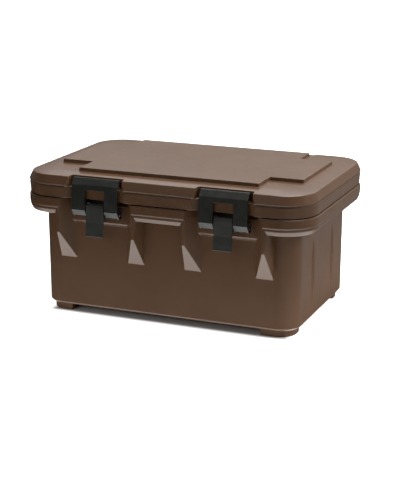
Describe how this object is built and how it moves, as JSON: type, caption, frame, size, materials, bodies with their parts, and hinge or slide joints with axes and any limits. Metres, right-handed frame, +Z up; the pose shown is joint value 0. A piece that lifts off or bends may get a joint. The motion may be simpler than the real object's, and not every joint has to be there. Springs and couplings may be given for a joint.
{
  "type": "insulated food carrier",
  "caption": "Top-loading insulated food carrier: double-walled moulded box with a lift-off lid held by over-centre draw latches on its long sides.",
  "frame": {"origin": "on the floor, under the middle of the carrier", "axes": "+X along the long side towards the right end, +Y towards the rear, +Z up"},
  "size_m": [0.635, 0.427, 0.3115],
  "materials": {
    "shell_brown": "rotationally moulded polyethylene, dark brown, fine satin grain",
    "nylon_black": "injection-moulded nylon, black, satin",
    "foam": "rigid polyurethane foam, cream, open cells at a cut face",
    "gasket_rubber": "moulded rubber, black, matt",
    "steel": "stainless steel, satin",
    "insert_brass": "turned brass"
  },
  "bodies": {
    "body": {"body_shell": "shell_brown", "body_foam": "foam", "body_fill_plug": "nylon_black", "front_left_bracket": "nylon_black", "front_left_lever_pin": "steel", "front_left_screw_1": "steel", "front_left_screw_2": "steel", "front_left_insert_1": "insert_brass", "front_left_insert_2": "insert_brass", "front_right_bracket": "nylon_black", "front_right_lever_pin": "steel", "front_right_screw_1": "steel", "front_right_screw_2": "steel", "front_right_insert_1": "insert_brass", "front_right_insert_2": "insert_brass", "rear_left_bracket": "nylon_black", "rear_left_lever_pin": "steel", "rear_left_screw_1": "steel", "rear_left_screw_2": "steel", "rear_left_insert_1": "insert_brass", "rear_left_insert_2": "insert_brass", "rear_right_bracket": "nylon_black", "rear_right_lever_pin": "steel", "rear_right_screw_1": "steel", "rear_right_screw_2": "steel", "rear_right_insert_1": "insert_brass", "rear_right_insert_2": "insert_brass"},
    "lid": {"lid_shell": "shell_brown", "lid_foam": "foam", "lid_fill_plug": "nylon_black", "lid_gasket": "gasket_rubber"},
    "front_left_lever": {"front_left_lever": "nylon_black", "front_left_link_pin": "steel"},
    "front_left_link": {"front_left_link": "nylon_black"},
    "front_right_lever": {"front_right_lever": "nylon_black", "front_right_link_pin": "steel"},
    "front_right_link": {"front_right_link": "nylon_black"},
    "rear_left_lever": {"rear_left_lever": "nylon_black", "rear_left_link_pin": "steel"},
    "rear_left_link": {"rear_left_link": "nylon_black"},
    "rear_right_lever": {"rear_right_lever": "nylon_black", "rear_right_link_pin": "steel"},
    "rear_right_link": {"rear_right_link": "nylon_black"}
  },
  "joints": [
    {"name": "lid_lift", "type": "slide", "parent": "body", "child": "lid", "axis": [0, 0, 1], "range_m": [0, 0.2]},
    {"name": "front_left_lever_hinge", "type": "hinge", "parent": "body", "child": "front_left_lever", "pos_m": [-0.1405, -0.2, 0.2385], "axis": [-1, 0, 0], "range_deg": [0, 105]},
    {"name": "front_left_link_hinge", "type": "hinge", "parent": "front_left_lever", "child": "front_left_link", "pos_m": [-0.1405, -0.196, 0.226], "axis": [1, 0, 0], "range_deg": [0, 126]},
    {"name": "front_right_lever_hinge", "type": "hinge", "parent": "body", "child": "front_right_lever", "pos_m": [0.1405, -0.2, 0.2385], "axis": [-1, 0, 0], "range_deg": [0, 105]},
    {"name": "front_right_link_hinge", "type": "hinge", "parent": "front_right_lever", "child": "front_right_link", "pos_m": [0.1405, -0.196, 0.226], "axis": [1, 0, 0], "range_deg": [0, 126]},
    {"name": "rear_left_lever_hinge", "type": "hinge", "parent": "body", "child": "rear_left_lever", "pos_m": [-0.1405, 0.2, 0.2385], "axis": [1, 0, 0], "range_deg": [0, 105]},
    {"name": "rear_left_link_hinge", "type": "hinge", "parent": "rear_left_lever", "child": "rear_left_link", "pos_m": [-0.1405, 0.196, 0.226], "axis": [-1, 0, 0], "range_deg": [0, 126]},
    {"name": "rear_right_lever_hinge", "type": "hinge", "parent": "body", "child": "rear_right_lever", "pos_m": [0.1405, 0.2, 0.2385], "axis": [1, 0, 0], "range_deg": [0, 105]},
    {"name": "rear_right_link_hinge", "type": "hinge", "parent": "rear_right_lever", "child": "rear_right_link", "pos_m": [0.1405, 0.196, 0.226], "axis": [-1, 0, 0], "range_deg": [0, 126]}
  ],
  "couplings": [
    {"joint": "front_left_link_hinge", "follows": "front_left_lever_hinge", "ratio": 1.2},
    {"joint": "front_right_link_hinge", "follows": "front_right_lever_hinge", "ratio": 1.2},
    {"joint": "rear_left_link_hinge", "follows": "rear_left_lever_hinge", "ratio": 1.2},
    {"joint": "rear_right_link_hinge", "follows": "rear_right_lever_hinge", "ratio": 1.2}
  ]
}
